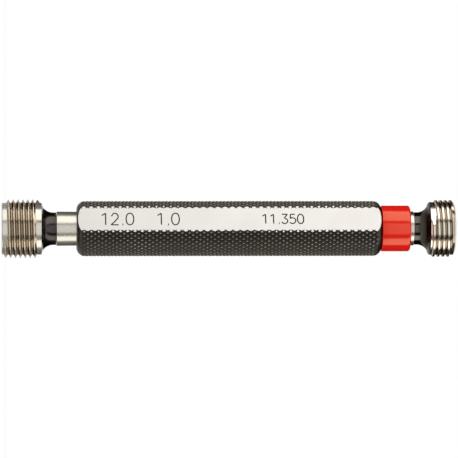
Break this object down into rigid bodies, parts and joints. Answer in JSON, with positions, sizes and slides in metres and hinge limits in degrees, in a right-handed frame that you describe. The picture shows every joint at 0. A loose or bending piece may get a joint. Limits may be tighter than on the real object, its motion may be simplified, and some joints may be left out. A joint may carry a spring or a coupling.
{
  "type": "thread plug gauge",
  "caption": "Double-ended thread plug gauge: knurled steel handle with a ground flat, a longer go thread plug, and a shorter no-go thread plug behind a red marking ring.",
  "frame": {"origin": "centre of the go plug's front face, on which the gauge stands", "axes": "+Z along the gauge's axis from the go end to the no-go end, -Y square to the ground flat of the handle"},
  "size_m": [0.012, 0.012, 0.0936],
  "materials": {
    "gauge_steel": "hardened tool steel, ground and lapped threads",
    "blackened_steel": "knurled and blackened steel with one bright ground flat",
    "red_plastic": "smooth moulded red plastic"
  },
  "bodies": {
    "root": {"go_plug": "gauge_steel", "handle": "blackened_steel", "marking_ring": "red_plastic", "no_go_plug": "gauge_steel"}
  },
  "joints": []
}
